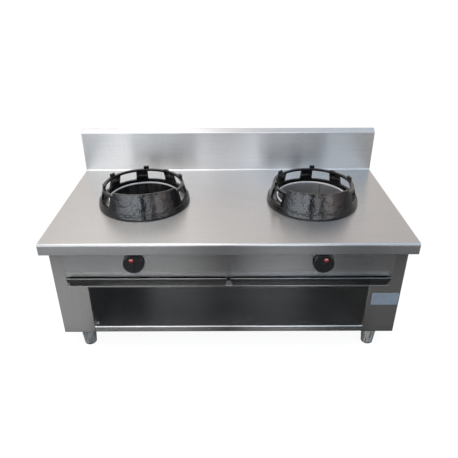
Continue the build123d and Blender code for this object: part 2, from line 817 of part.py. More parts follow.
def drip_tray():
    low, rear = tray_floor, tray_back
    first = body_front + tray_recess
    tray = block(tray_inner_edge, tray_outer, first, rear, low, low + tray_wall_height)
    tray -= block(tray_inner_edge + tray_sheet, tray_outer - tray_sheet, first + tray_sheet, rear - tray_sheet,
                  low + tray_sheet, low + tray_wall_height + 1)
    top_z = low + lip_rise
    inner_top, outer_top = lip_centre_gap, panel_half - lip_end_gap
    slant = hypot(lip_out, lip_rise)
    shape = [(inner_top + lip_taper, 0), (outer_top - lip_taper, 0), (outer_top, slant), (inner_top, slant)]
    lean = Plane(origin=(0, body_front, low), x_dir=(1, 0, 0), z_dir=(0, -lip_rise, -lip_out))
    face = make_face(Polyline(*shape, close=True))
    face = fillet(face.vertices().group_by(Axis.Y)[0], lip_corner)
    tray += extrude(lean * face, amount=-lip_plate)
    tray += block(inner_top + lip_taper + lip_corner, outer_top - lip_taper - lip_corner,
                  body_front, first + tray_sheet, low, low + tray_sheet)
    hem = [(inner_top, slant - lip_hem_height), (outer_top, slant - lip_hem_height), (outer_top, slant),
           (inner_top, slant)]
    folded = extrude(lean * make_face(Polyline(*hem, close=True)), amount=-lip_hem_thickness)
    crest = [edge for edge in folded.edges().filter_by(Axis.X) if edge.center().Z > top_z - lip_hem_height / 2]
    tray += fillet(crest, lip_plate * 0.9)
    return tray


def tray_guides():
    top = deck_top + guide_height
    start = body_front + guide_front_gap
    rails = [block(-tray_inner_edge + guide_gap, tray_inner_edge - guide_gap, start, tray_back, deck_top, top)]
    for sign in sides.values():
        outside = tray_outer + guide_gap
        rails.append(block(sign * outside, sign * (outside + guide_width), start, tray_back, deck_top, top))
        rails.append(block(sign * (tray_inner_edge + guide_width), sign * (tray_outer - guide_width),
                           tray_back + guide_gap, tray_back + guide_gap + guide_width, deck_top, top))
    return Compound(children=rails)


# ---- feet and small fittings

def foot(x, y):
    top = body_bottom
    stem_top = body_bottom + leg_base_thickness + nut_height + foot_travel
    outside = [(0, 0), (foot_bottom_radius, 0), (foot_top_radius, top),
               (foot_top_radius - foot_wall, top), (foot_bottom_radius - foot_wall, foot_floor), (stem_radius, foot_floor),
               (stem_radius, stem_top), (0, stem_top)]
    profile = make_face(Polyline(*outside, close=True))
    low_corner = profile.vertices().group_by(Axis.Y)[0].sort_by(Axis.X)[-1]
    profile = fillet(low_corner, foot_round)
    return Pos(x, y, 0) * revolve(Plane.XZ * profile, axis=Axis.Z)


def foot_nuts():
    nuts = []
    low = body_bottom + leg_base_thickness
    for sign in sides.values():
        for y in foot_ys.values():
            spot = Plane(origin=(sign * foot_x, y, low))
            nut = extrude(spot * RegularPolygon(nut_flats / 2, 6, major_radius=False), amount=nut_height)
            nuts.append(nut - upright(sign * foot_x, y, low - 1, low + nut_height + 1, stem_radius + running_gap))
    return Compound(children=nuts)


def label_plate():
    right = body_half - label_edge
    top = worktop_height - label_drop
    return block(right - label_width, right, body_front - label_thickness, body_front, top - label_height, top)


def shelf_clip():
    start = body_front + clip_from_front
    foot_plate = block(-cavity_half, -cavity_half + clip_width, start, start + clip_width,
                       shelf_top, shelf_top + clip_sheet)
    upstand = block(-cavity_half, -cavity_half + clip_sheet, start, start + clip_width,
                    shelf_top, shelf_top + clip_height)
    stud = upright(-cavity_half + clip_width / 2, start + clip_width / 2, shelf_top, shelf_top + 4 * clip_sheet,
                   clip_width / 4)
    return foot_plate + upstand + stud


def main():
    pieces = {"worktop": worktop(), "bottom_shelf": bottom_shelf(),
              "tray_deck": tray_deck(), "back_panel": back_panel(), "back_panel_screws": back_panel_screws(),
              "control_panel": control_panel(),
              "top_brace_front": top_brace(front_brace_y), "top_brace_rear": top_brace(rear_brace_y),
              "gas_manifold": gas_manifold(), "manifold_brackets": manifold_brackets(),
              "gas_inlet_pipe": gas_inlet_pipe(), "tap_screws": tap_screws(), "tray_guides": tray_guides(),
              "foot_nuts": foot_nuts(), "label_plate": label_plate(), "shelf_clip": shelf_clip()}
    both = {"side_panel": side_panel, "cavity_wall": cavity_wall, "leg_base": leg_base, "drip_tray": drip_tray}
    placed = {"well_liner": well_liner, "wok_ring": wok_ring, "burner_hanger": burner_hanger, "burner": burner,
              "burner_cap": burner_cap, "pilot": pilot, "pilot_pipe": pilot_pipe, "thermocouple": thermocouple,
              "gas_tap": gas_tap, "tap_spindle": tap_spindle, "tap_plunger": tap_plunger, "knob": knob,
              "knob_marker": knob_marker, "injector": injector, "feed_pipe": feed_pipe}
    for side, sign in sides.items():
        for name, make in both.items():
            pieces[f"{name}_{side}"] = handed(make(), side)
        for name, make in placed.items():
            pieces[f"{name}_{side}"] = make(side)
        for end, y in foot_ys.items():
            pieces[f"foot_{end}_{side}"] = foot(sign * foot_x, y)
    os.makedirs("parts", exist_ok=True)
    for name, piece in pieces.items():
        export_step(piece, f"parts/{name}.step")
    print(len(pieces), "pieces")


main()
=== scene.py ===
import json
import math

import bpy
from mathutils import Matrix, Vector


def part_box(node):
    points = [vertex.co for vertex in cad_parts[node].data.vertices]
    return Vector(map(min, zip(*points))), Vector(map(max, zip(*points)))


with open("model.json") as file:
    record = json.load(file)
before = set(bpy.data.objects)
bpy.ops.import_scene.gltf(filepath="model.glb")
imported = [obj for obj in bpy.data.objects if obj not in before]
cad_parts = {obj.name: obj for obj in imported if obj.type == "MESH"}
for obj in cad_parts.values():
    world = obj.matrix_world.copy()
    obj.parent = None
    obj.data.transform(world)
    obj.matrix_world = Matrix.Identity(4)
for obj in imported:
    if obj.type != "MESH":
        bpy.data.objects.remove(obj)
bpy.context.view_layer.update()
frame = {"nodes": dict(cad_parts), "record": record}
cadNodes = frame["nodes"]
print("frame loaded:", len(cadNodes), "pieces")


# camera at the photograph's place; the angles are in degrees
photoCamera = {
    "place": (-0.0043, -1.9783, 1.4953),
    "pitchDown": 28.955,
    "turn": -0.01,
    "roll": -0.19,
    "lens": 37.157,
    "sensor": 36.0,
    "shiftX": 0.0035,
    "clip": (0.05, 60),
}


def placeCamera(spec):
    data = bpy.data.cameras.new("photoCamera")
    data.lens = spec["lens"]
    data.sensor_width = spec["sensor"]
    data.shift_x = spec["shiftX"]
    data.clip_start, data.clip_end = spec["clip"]
    camera = bpy.data.objects.new("photoCamera", data)
    bpy.context.scene.collection.objects.link(camera)
    down = math.radians(spec["pitchDown"])
    turn = math.radians(spec["turn"])
    roll = math.radians(spec["roll"])
    ahead = Vector((math.sin(turn) * math.cos(down), math.cos(turn) * math.cos(down), -math.sin(down)))
    right = Vector((math.cos(turn), -math.sin(turn), 0))
    up = right.cross(ahead)
    rolledRight = right * math.cos(roll) + up * math.sin(roll)
    rolledUp = up * math.cos(roll) - right * math.sin(roll)
    axes = Matrix((rolledRight, rolledUp, -ahead)).transposed().to_4x4()
    camera.matrix_world = Matrix.Translation(spec["place"]) @ axes
    bpy.context.scene.camera = camera


placeCamera(photoCamera)
print("camera placed")


# short ways to add and join shader nodes
class Wiring:
    def __init__(self, tree):
        self.tree = tree

    def add(self, kind, settings=None, inputs=None):
        node = self.tree.nodes.new(kind)
        for key, value in (settings or {}).items():
            setattr(node, key, value)
        for key, value in (inputs or {}).items():
            self.feed(node.inputs[key], value)
        return node

    def feed(self, socket, value):
        if isinstance(value, bpy.types.NodeSocket):
            self.tree.links.new(value, socket)
        else:
            socket.default_value = value

    def feedAll(self, sockets, values):
        for socket, value in zip(sockets, values):
            self.feed(socket, value)

    def maths(self, operation, *values):
        node = self.add("ShaderNodeMath", {"operation": operation})
        self.feedAll(node.inputs, values)
        return node.outputs[0]

    def vectorMaths(self, operation, *values):
        node = self.add("ShaderNodeVectorMath", {"operation": operation})
        self.feedAll(node.inputs, values)
        return node.outputs["Value" if operation == "DOT_PRODUCT" else "Vector"]

    def split(self, vector):
        return self.add("ShaderNodeSeparateXYZ", inputs={0: vector}).outputs

    def position(self):  # on the piece, in the shared frame
        return self.add("ShaderNodeTexCoord").outputs["Object"]

    def noise(self, vector, scale, detail, roughness):
        inputs = {"Vector": vector, "Scale": scale, "Detail": detail, "Roughness": roughness}
        return self.add("ShaderNodeTexNoise", inputs=inputs).outputs["Fac"]

    def spread(self, value, low, high, newLow=0.0, newHigh=1.0, smooth=False):
        node = self.add("ShaderNodeMapRange", {"interpolation_type": "SMOOTHSTEP" if smooth else "LINEAR"})
        self.feedAll(node.inputs, (value, low, high, newLow, newHigh))
        return node.outputs[0]

    def ramp(self, value, stops):
        node = self.add("ShaderNodeValToRGB", inputs={0: value})
        elements = node.color_ramp.elements
        while len(elements) < len(stops):
            elements.new(0.5)
        for element, (at, tone) in zip(elements, stops):
            element.position = at
            element.color = (*tone, 1) if isinstance(tone, tuple) else (tone, tone, tone, 1)
        return node.outputs[0]

    def mixColour(self, amount, first, second, mode="MIX"):
        node = self.add("ShaderNodeMix", {"data_type": "RGBA", "blend_type": mode})
        for socket, value in zip((node.inputs[0], node.inputs[6], node.inputs[7]), (amount, first, second)):
            self.feed(socket, (*value, 1) if isinstance(value, tuple) else value)
        return node.outputs[2]

    def timesColour(self, first, second):
        return self.mixColour(1.0, first, second, "MULTIPLY")

    def bump(self, height, strength, distance, normal):
        inputs = {"Height": height, "Strength": strength, "Distance": distance, "Normal": normal}
        return self.add("ShaderNodeBump", inputs=inputs).outputs[0]


# the studio: a pale backdrop behind the range, and before it a dim room whose soft boxes stand in bands;
# positions are parts of the unit direction that is looked in, and the pairs are stops of (position, tone)
studio = {
    "width": (-0.5, 0.5),
    "backBegins": (-0.15, 0.3),
    "backUpward": [(0.0, 1.0), (0.42, 1.0), (0.6, 0.82), (1.0, 0.75)],
    "backAcross": [(0.0, 0.94), (0.3, 0.96), (0.42, 0.95), (0.6, 0.96), (0.85, 0.83), (1.0, 0.81)],
    "backTintTurn": (-0.1, 0.4),
    "backTintLeft": (1.07, 1.0, 0.96),
    "backTintRight": (1.1, 1.0, 0.95),
    "roomUpward": [(0.0, 0.1), (0.12, 0.16), (0.26, 0.52), (0.4, 0.8), (0.56, 0.8), (0.72, 0.42), (1.0, 0.6)],
    "roomBands": [(0.0, 0.5), (0.2, 0.9), (0.29, 0.72), (0.336, 0.86), (0.4, 1.08), (0.435, 1.75),
                  (0.462, 0.5), (0.5, 0.1), (0.53, 1.0), (0.57, 1.05), (0.605, 1.45), (0.645, 1.6),
                  (0.684, 0.85), (0.72, 0.4), (0.75, 0.2), (0.8, 0.45), (1.0, 0.25)],
    "bandsEnd": (0.62, 0.76),
    "overBands": (0.8, 0.8, 0.8),
    "roomTints": [(0.0, (0.97, 0.98, 0.98)), (0.3, (0.99, 0.98, 0.99)), (0.5, (0.99, 0.97, 1.04)),
                  (0.65, (0.83, 0.95, 1.1)), (1.0, (0.7, 0.95, 1.2))],
    "roomStrength": 2.9,
    "seenWhite": (1.0, 1.0, 1.0),
}


def lightWorld(spec):
    world = bpy.data.worlds.new("studio")
    bpy.context.scene.world = world
    world.use_nodes = True
    world.node_tree.nodes.clear()
    w = Wiring(world.node_tree)
    x, y, z = w.split(w.add("ShaderNodeTexCoord").outputs["Generated"])
    across = w.spread(x, *spec["width"])
    bands = w.mixColour(w.spread(z, *spec["bandsEnd"]), w.ramp(across, spec["roomBands"]), spec["overBands"])
    boxes = w.maths("MULTIPLY", w.ramp(z, spec["roomUpward"]), bands)
    boxes = w.maths("MULTIPLY", boxes, spec["roomStrength"])
    room = w.timesColour(boxes, w.ramp(across, spec["roomTints"]))
    backTint = w.mixColour(w.spread(x, *spec["backTintTurn"]), spec["backTintLeft"], spec["backTintRight"])
    back = w.timesColour(w.ramp(z, spec["backUpward"]), w.ramp(across, spec["backAcross"]))
    back = w.timesColour(back, backTint)
    mirrored = w.mixColour(w.spread(y, *spec["backBegins"], smooth=True), room, back)
    cameraRay = w.add("ShaderNodeLightPath").outputs["Is Camera Ray"]
    colour = w.mixColour(cameraRay, mirrored, spec["seenWhite"])
    surface = w.add("ShaderNodeBackground", inputs={"Color": colour, "Strength": 1.0})
    w.feed(w.add("ShaderNodeOutputWorld").inputs["Surface"], surface.outputs[0])


# a stage object of one mesh, with an empty material that sends out no light samples of its own
def startStage(name, points, faces):
    mesh = bpy.data.meshes.new(name)
    mesh.from_pydata(points, [], faces)
    stageObject = bpy.data.objects.new(name, mesh)
    bpy.context.scene.collection.objects.link(stageObject)
    material = bpy.data.materials.new(name)
    material.use_nodes = True
    material.node_tree.nodes.clear()
    material.cycles.emission_sampling = "NONE"
    mesh.materials.append(material)
    return stageObject, Wiring(material.node_tree)


# the floor: white with a faint shadow to the camera, plain to diffuse light, and to glossy rays the tones that
# the steel mirrors; those open out from the front of the range, so x is divided by how far they have opened
floorSpec = {
    "half": 7.0,
    "white": 0.93,
    "shadowed": (0.11, 0.11, 0.11, 1),
    "plain": (0.55, 0.55, 0.54, 1),
    "depth": (-2.2, 0.3),
    "opening": (-0.372, -1.978, 1.0, 2.0),
    "width": (-0.8, 0.8),
    "across": [(0.0, 0.36), (0.1, 0.36), (0.18, 0.4), (0.3, 0.44), (0.38, 0.43), (0.44, 0.28), (0.5, 0.11),
               (0.56, 0.33), (0.63, 0.43), (0.68, 0.42), (0.74, 0.22), (0.8, 0.14), (0.87, 0.12), (1.0, 0.11)],
    "beforeShelf": [(0.0, 0.08), (0.2, 0.08), (0.37, 0.08), (0.42, 0.5), (0.48, 0.95), (0.6, 0.9),
                    (0.685, 0.6), (0.7, 0.05), (0.85, 0.05), (1.0, 1.0)],
    "beforeLegs": [(0.0, 0.08), (0.2, 0.08), (0.37, 0.08), (0.4, 0.75), (0.45, 1.25), (0.5, 1.2),
                   (0.65, 1.2), (0.69, 1.1), (0.7, 0.05), (0.85, 0.05), (1.0, 1.0)],
    "legEdge": (-0.95, -0.93, 0.665, 0.59),
    "legEdgeBlur": 0.015,
    "farOut": (0.85, 1.2),
    "besideBody": (0.73, 0.8),
    "behindFront": (-0.34, -0.25),
    "away": (0.38, 0.38, 0.38),
}


def layFloor(spec):
    half = spec["half"]
    corners = [(-half, -half, 0), (half, -half, 0), (half, half, 0), (-half, half, 0)]
    floor, w = startStage("studioFloor", corners, [(0, 1, 2, 3)])
    x, y, z = w.split(w.add("ShaderNodeNewGeometry").outputs["Position"])
    depth = w.spread(y, *spec["depth"])
    source = w.maths("DIVIDE", x, w.spread(y, *spec["opening"]))
    outward = w.maths("ABSOLUTE", source)
    across = w.ramp(w.spread(source, *spec["width"]), spec["across"])
    pastEdge = w.maths("SUBTRACT", outward, w.spread(y, *spec["legEdge"]))
    beforeLegs = w.spread(pastEdge, 0.0, spec["legEdgeBlur"])
    along = w.mixColour(beforeLegs, w.ramp(depth, spec["beforeShelf"]), w.ramp(depth, spec["beforeLegs"]))
    besideBody = w.spread(w.maths("ABSOLUTE", x), *spec["besideBody"])
    beside = w.maths("MULTIPLY", besideBody, w.spread(y, *spec["behindFront"]))
    away = w.maths("MAXIMUM", w.spread(outward, *spec["farOut"]), beside)
    tone = w.mixColour(away, w.timesColour(across, along), spec["away"])
    mirrored = w.add("ShaderNodeEmission", inputs={"Color": tone, "Strength": 1.0})
    white = w.add("ShaderNodeEmission", inputs={"Strength": spec["white"]})
    faint = w.add("ShaderNodeBsdfDiffuse", inputs={"Color": spec["shadowed"]})
    toCamera = w.add("ShaderNodeAddShader", inputs={0: white.outputs[0], 1: faint.outputs[0]})
    plain = w.add("ShaderNodeBsdfDiffuse", inputs={"Color": spec["plain"]})
    path = w.add("ShaderNodeLightPath").outputs
    bounced = w.add("ShaderNodeMixShader",
                    inputs={0: path["Is Glossy Ray"], 1: plain.outputs[0], 2: mirrored.outputs[0]})
    seen = w.add("ShaderNodeMixShader",
                 inputs={0: path["Is Camera Ray"], 1: bounced.outputs[0], 2: toCamera.outputs[0]})
    w.feed(w.add("ShaderNodeOutputMaterial").inputs["Surface"], seen.outputs[0])


# a low curved wall on the cook's side, which only the glossy castings mirror: a long bright window to the left,
# a dark upright frame in front, two paler panels and a dim warm corner to the right; reach is in degrees
surround = {
    "middle": (0.0, -0.2),
    "radius": 2.9,
    "reach": 125,
    "steps": 50,
    "bottom": 0.42,
    "top": 1.0,
    "strength": 5.6,
    "bands": [(0.0, 0.05), (0.1, 0.12), (0.2, 0.2), (0.24, 0.5), (0.29, 0.8), (0.44, 0.98), (0.462, 0.85),
              (0.47, 0.04), (0.513, 0.04), (0.522, 0.75), (0.578, 0.55), (0.584, 0.08), (0.602, 0.08),
              (0.61, 0.45), (0.65, 0.62), (0.7, 0.6), (0.73, 0.34), (0.79, 0.2), (0.85, 0.12), (0.92, 0.06),
              (1.0, 0.04)],
    "upward": [(0.0, 0.55), (0.35, 0.75), (0.6, 0.85), (0.85, 1.1), (1.0, 1.1)],
    "tintTurn": (0.45, 0.75),
    "leftTint": (0.93, 0.99, 1.07),
    "rightTint": (1.08, 0.98, 0.92),
}


def standSurround(spec):
    steps, radius = spec["steps"], spec["radius"]
    x0, y0 = spec["middle"]
    points = []
    for i in range(steps + 1):
        angle = math.radians(spec["reach"] * (2 * i / steps - 1))
        x, y = x0 + radius * math.sin(angle), y0 - radius * math.cos(angle)
        points += [(x, y, spec["bottom"]), (x, y, spec["top"])]
    faces = [(2 * i, 2 * i + 1, 2 * i + 3, 2 * i + 2) for i in range(steps)]
    wall, w = startStage("surround", points, faces)
    x, y, z = w.split(w.add("ShaderNodeNewGeometry").outputs["Position"])
    angle = w.maths("ARCTAN2", w.maths("SUBTRACT", x, x0), w.maths("SUBTRACT", y0, y))
    reach = math.radians(spec["reach"])
    turn = w.spread(angle, -reach, reach)
    upward = w.ramp(w.spread(z, spec["bottom"], spec["top"]), spec["upward"])
    tint = w.mixColour(w.spread(turn, *spec["tintTurn"]), spec["leftTint"], spec["rightTint"])
    glow = w.timesColour(w.timesColour(w.ramp(turn, spec["bands"]), upward), tint)
    light = w.add("ShaderNodeEmission", inputs={"Color": glow, "Strength": spec["strength"]})
    clear = w.add("ShaderNodeBsdfTransparent")
    mirrored = w.add("ShaderNodeLightPath").outputs["Is Glossy Ray"]
    shown = w.add("ShaderNodeMixShader", inputs={0: mirrored, 1: clear.outputs[0], 2: light.outputs[0]})
    w.feed(w.add("ShaderNodeOutputMaterial").inputs["Surface"], shown.outputs[0])


overheadLamp = {
    "place": (-0.74, -0.4, 3.0),
    "target": (0, 0, 0.4),
    "size": (2.2, 1.6),
    "power": 25,
    "tint": (1.0, 0.99, 0.97),
}


def hangLamp(spec):
    data = bpy.data.lights.new("overheadLamp", "AREA")
    data.shape = "RECTANGLE"
    data.size, data.size_y = spec["size"]
    data.energy = spec["power"]
    data.color = spec["tint"]
    lamp = bpy.data.objects.new("overheadLamp", data)
    aim = (Vector(spec["target"]) - Vector(spec["place"])).to_track_quat("-Z", "Y")
    lamp.matrix_world = Matrix.Translation(spec["place"]) @ aim.to_matrix().to_4x4()
    bpy.context.scene.collection.objects.link(lamp)


bpy.context.scene.view_settings.view_transform = "Standard"
lightWorld(studio)
layFloor(floorSpec)
standSurround(surround)
hangLamp(overheadLamp)
print("studio lit")


# the effects that the materials share; a noise is given by its scale, detail and roughness, or without the
# scale where an input of the group sets it, and a mask by the two values that it fades between
floatSocket, vectorSocket, colourSocket = "NodeSocketFloat", "NodeSocketVector", "NodeSocketColor"


def newGroup(name, inputs, outputs):
    group = bpy.data.node_groups.new(name, "ShaderNodeTree")
    for socketName, kind, value in inputs:
        socket = group.interface.new_socket(name=socketName, in_out="INPUT", socket_type=kind)
        if value is not None:
            socket.default_value = value
    for socketName, kind in outputs:
        group.interface.new_socket(name=socketName, in_out="OUTPUT", socket_type=kind)
    w = Wiring(group)
    given = w.add("NodeGroupInput").outputs
    result = w.add("NodeGroupOutput").inputs
    return group, w, given, result


# brushed lines drawn out along one axis: Stretch is small along the lines and large across them
sheetGrain = {
    "lines": (2.2, 4.0, 0.6),
    "fine": (30.0, 2.0, 0.5),
    "cloud": (3.1, 4.0, 0.6),
}


def makeSheetGrain(spec):
    group, w, given, result = newGroup(
        "sheetGrain",
        [("Stretch", vectorSocket, (1.0, 60.0, 60.0))],
        [("Lines", floatSocket), ("Fine", floatSocket), ("Cloud", floatSocket)])
    where = w.position()
    drawn = w.vectorMaths("MULTIPLY", where, given["Stretch"])
    w.feed(result["Lines"], w.noise(drawn, *spec["lines"]))
    w.feed(result["Fine"], w.noise(drawn, *spec["fine"]))
    w.feed(result["Cloud"], w.noise(where, *spec["cloud"]))
    return group


# wiping marks and finger haze: soft patches, with smaller and fainter ones among them
handling = {
    "broad": (5.0, 0.62),
    "broadMask": (0.42, 0.72),
    "small": (3.0, 0.5),
    "smallMask": (0.5, 0.8),
    "smallFiner": 7.0,
    "smallFainter": 0.6,
}


def makeHandling(spec):
    group, w, given, result = newGroup(
        "handling",
        [("Size", floatSocket, 6.0), ("Amount", floatSocket, 0.5), ("Draw", vectorSocket, (1.0, 1.0, 1.0))],
        [("Haze", floatSocket)])
    where = w.vectorMaths("MULTIPLY", w.position(), given["Draw"])
    finer = w.maths("MULTIPLY", given["Size"], spec["smallFiner"])
    broad = w.spread(w.noise(where, given["Size"], *spec["broad"]), *spec["broadMask"])
    small = w.spread(w.noise(where, finer, *spec["small"]), *spec["smallMask"])
    both = w.maths("MAXIMUM", broad, w.maths("MULTIPLY", small, spec["smallFainter"]))
    w.feed(result["Haze"], w.maths("MULTIPLY", both, given["Amount"]))
    return group


# a softened normal, and a mask along the edges where handling polishes or chips the surface
edgeRub = {
    "samples": 4,
    "bend": (0.02, 0.2),
    "patches": (55.0, 3.0, 0.6),
    "patchMask": (0.35, 0.6),
}


def makeEdgeRub(spec):
    group, w, given, result = newGroup(
        "edgeRub", [("Radius", floatSocket, 0.002), ("Wear", floatSocket, 1.0)],
        [("Edge", floatSocket), ("Normal", vectorSocket)])
    rounded = w.add("ShaderNodeBevel", {"samples": spec["samples"]}, {"Radius": given["Radius"]}).outputs[0]
    flat = w.add("ShaderNodeNewGeometry").outputs["Normal"]
    bend = w.maths("SUBTRACT", 1.0, w.vectorMaths("DOT_PRODUCT", rounded, flat))
    patchy = w.spread(w.noise(w.position(), *spec["patches"]), *spec["patchMask"])
    worn = w.maths("MULTIPLY", w.spread(bend, *spec["bend"]), patchy)
    w.feed(result["Edge"], w.maths("MULTIPLY", worn, given["Wear"]))
    w.feed(result["Normal"], rounded)
    return group


# cast skin: orange peel, sand pits and slow swells
castSkin = {
    "peel": (2.0, 0.5),
    "peelHeight": 0.45,
    "swell": (3.0, 0.5),
    "swellHeight": 1.4,
    "pitScale": 0.6,
    "pitMask": (0.06, 0.24, 1.0, 0.0),
    "pitDepth": 0.18,
}


def makeCastSkin(spec):
    group, w, given, result = newGroup(
        "castSkin", [("Peel", floatSocket, 230.0), ("Swell", floatSocket, 22.0)],
        [("Height", floatSocket)])
    where = w.position()
    peel = w.maths("MULTIPLY", w.noise(where, given["Peel"], *spec["peel"]), spec["peelHeight"])
    swell = w.maths("MULTIPLY", w.noise(where, given["Swell"], *spec["swell"]), spec["swellHeight"])
    cellScale = w.maths("MULTIPLY", given["Peel"], spec["pitScale"])
    cells = w.add("ShaderNodeTexVoronoi", inputs={"Vector": where, "Scale": cellScale})
    pits = w.maths("MULTIPLY", w.spread(cells.outputs["Distance"], *spec["pitMask"]), spec["pitDepth"])
    w.feed(result["Height"], w.maths("SUBTRACT", w.maths("ADD", peel, swell), pits))
    return group


# settled dust and grease film on faces that look up
dustFall = {
    "lookingUp": (0.3, 0.95),
    "patches": (9.0, 5.0, 0.65),
    "patchMask": (0.35, 0.7),
}


def makeDustFall(spec):
    group, w, given, result = newGroup("dustFall", [("Amount", floatSocket, 0.3)], [("Dust", floatSocket)])
    up = w.split(w.add("ShaderNodeNewGeometry").outputs["Normal"])[2]
    patch = w.spread(w.noise(w.position(), *spec["patches"]), *spec["patchMask"])
    settled = w.maths("MULTIPLY", w.spread(up, *spec["lookingUp"]), patch)
    w.feed(result["Dust"], w.maths("MULTIPLY", settled, given["Amount"]))
    return group


# straw, brown and blue temper colours by height over the flame
heatStain = {
    "wander": 0.05,
    "wanderNoise": (14.0, 3.0, 0.55),
    "temper": [(0.0, (1.0, 1.0, 1.0)), (0.3, (1.0, 0.97, 0.92)), (0.5, (0.86, 0.8, 0.76)),
               (0.68, (0.66, 0.7, 0.82)), (1.0, (0.34, 0.34, 0.36))],
}


def makeHeatStain(spec):
    group, w, given, result = newGroup(
        "heatStain", [("Low", floatSocket, 0.4), ("High", floatSocket, 0.56), ("Metal", colourSocket, None)],
        [("Colour", colourSocket)])
    where = w.position()
    centred = w.maths("SUBTRACT", w.noise(where, *spec["wanderNoise"]), 0.5)
    height = w.maths("ADD", w.split(where)[2], w.maths("MULTIPLY", centred, spec["wander"]))
    heat = w.spread(height, given["High"], given["Low"])
    w.feed(result["Colour"], w.timesColour(given["Metal"], w.ramp(heat, spec["temper"])))
    return group


groups = {
    "sheetGrain": makeSheetGrain(sheetGrain),
    "handling": makeHandling(handling),
    "edgeRub": makeEdgeRub(edgeRub),
    "castSkin": makeCastSkin(castSkin),
    "dustFall": makeDustFall(dustFall),
    "heatStain": makeHeatStain(heatStain),
}


# each material's dictionary gives the inputs of its groups under the groups' own names
def startMaterial(name):
    material = bpy.data.materials.new(name)
    material.use_nodes = True
    material.node_tree.nodes.clear()
    w = Wiring(material.node_tree)
    shader = w.add("ShaderNodeBsdfPrincipled")
    w.feed(w.add("ShaderNodeOutputMaterial").inputs["Surface"], shader.outputs[0])
    return material, w, shader.inputs


def useGroup(w, groupName, **inputs):
    node = w.add("ShaderNodeGroup", {"node_tree": groups[groupName]}, inputs)
    return node.outputs


def shaded(colour, share):
    return tuple(channel * share for channel in colour)


# brushed stainless sheet; grain names the axis that the brushing runs along
brushedSteel = {
    "colour": (0.6, 0.6, 0.596),
    "streakColour": (0.54, 0.54, 0.537),
    "streakMask": (0.3, 0.7),
    "hazeShade": 0.93,
    "hazeCover": 0.3,
    "rubbed": (0.72, 0.715, 0.705),
    "roughness": 0.22,
    "roughnessEitherWay": 0.05,
    "roughnessMask": (0.25, 0.75),
    "hazeRoughness": 0.05,
    "pull": 0.9,
    "fineHeight": 0.35,
    "cloudHeight": 0.5,
    "bump": (0.2, 0.0004),
    "handling": {"Size": 3.2, "Amount": 0.7},
    "edgeRub": {"Radius": 0.0016, "Wear": 0.6},
    "stretch": {"X": (1.3, 110.0, 110.0), "Z": (110.0, 110.0, 1.3)},
    "wipe": {"X": (0.5, 2.2, 2.2), "Z": (2.2, 2.2, 0.5)},
}

# the sheets' own ways: a tone times the colour, rougher is added, calm lowers waves and haze, and stops of
# (y, tone) darken stretches along y; both tones are painted light and shade, not the steel's own colour
steelSheets = {
    "steelAcross": {"grain": "X", "calm": 0.4},
    # painted shade: the tray lip is a darker copy, and the tray behind the lip is darkened as painted shadow in
    # the slot
    "steelLip": {"grain": "X", "paintedLightAndShade": 0.9, "rougher": -0.08, "calm": 0.2,
                 "paintedShadeByDepth": [(-0.376, 1.0), (-0.372, 0.16), (-0.31, 0.2), (-0.2, 0.85)]},
    # painted light and shade: the deck is a lighter copy to brighten the cavity, its front strip darkened as
    # painted shadow under the lips
    "steelDeck": {"grain": "X", "paintedLightAndShade": 1.15, "calm": 0.4, "paintedShadeByDepth": [(-0.368, 0.42), (-0.366, 1.0)]},
    # painted light: the back panel is a lighter copy to brighten the cavity
    "steelBackPaintedLight": {"grain": "X", "paintedLightAndShade": 1.15, "calm": 0.4},
    "steelUpright": {"grain": "Z", "calm": 0.5},
    # painted shade: the cavity walls are a darker copy, for the shade in the recess
    "steelInsidePaintedShade": {"grain": "Z", "paintedLightAndShade": 0.6, "calm": 0.5},
    # painted shade: the worktop's front face below its rounded edge is darkened
    "steelTop": {"grain": "X", "rougher": 0.08, "calm": 0.5, "paintedShadeByDepth": [(-0.3985, 0.78), (-0.397, 1.0)]},
}


